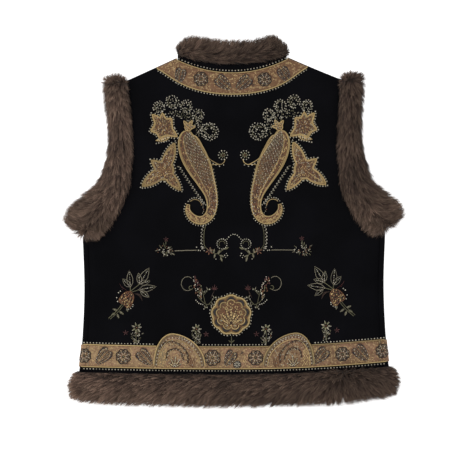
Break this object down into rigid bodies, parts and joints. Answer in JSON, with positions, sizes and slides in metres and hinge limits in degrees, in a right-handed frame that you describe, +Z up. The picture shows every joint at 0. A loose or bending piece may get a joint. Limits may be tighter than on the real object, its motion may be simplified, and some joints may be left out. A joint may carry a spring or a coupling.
{
  "type": "embroidered folk vest",
  "caption": "Sleeveless velvet vest laid flat with its back up, with fur at the collar, armholes and hem, tan embroidered bands and tan applique.",
  "frame": {"origin": "centre of the whole vest's outline, on the surface that it lies on", "axes": "+Y from the hem to the collar, +X to the wearer's right, +Z up from the surface towards the back of the vest"},
  "size_m": [0.5418, 0.5896, 0.0356],
  "materials": {
    "velvet": "black velvet with a short nap",
    "tan_band": "matte tan suede cloth, embroidered",
    "applique": "matte golden tan cloth with cord edges",
    "fur": "brown fur, long soft pile"
  },
  "bodies": {
    "root": {"back_panel": "velvet", "collar_stand_back": "velvet", "front_panel_left": "velvet", "collar_stand_front_left": "velvet", "front_panel_right": "velvet", "collar_stand_front_right": "velvet", "neck_band_back": "tan_band", "hem_band_back": "tan_band", "neck_band_front_left": "tan_band", "hem_band_front_left": "tan_band", "neck_band_front_right": "tan_band", "hem_band_front_right": "tan_band", "medallion": "applique", "paisley_left": "applique", "calyx_left": "applique", "upper_leaf_left": "applique", "lower_leaf_left": "applique", "dome_left": "applique", "paisley_right": "applique", "calyx_right": "applique", "upper_leaf_right": "applique", "lower_leaf_right": "applique", "dome_right": "applique", "collar_fur_back": "fur", "hem_fur_back": "fur", "collar_fur_front_left": "fur", "hem_fur_front_left": "fur", "armhole_fur_back_left": "fur", "armhole_fur_front_left": "fur", "collar_fur_front_right": "fur", "hem_fur_front_right": "fur", "armhole_fur_back_right": "fur", "armhole_fur_front_right": "fur"}
  },
  "joints": []
}
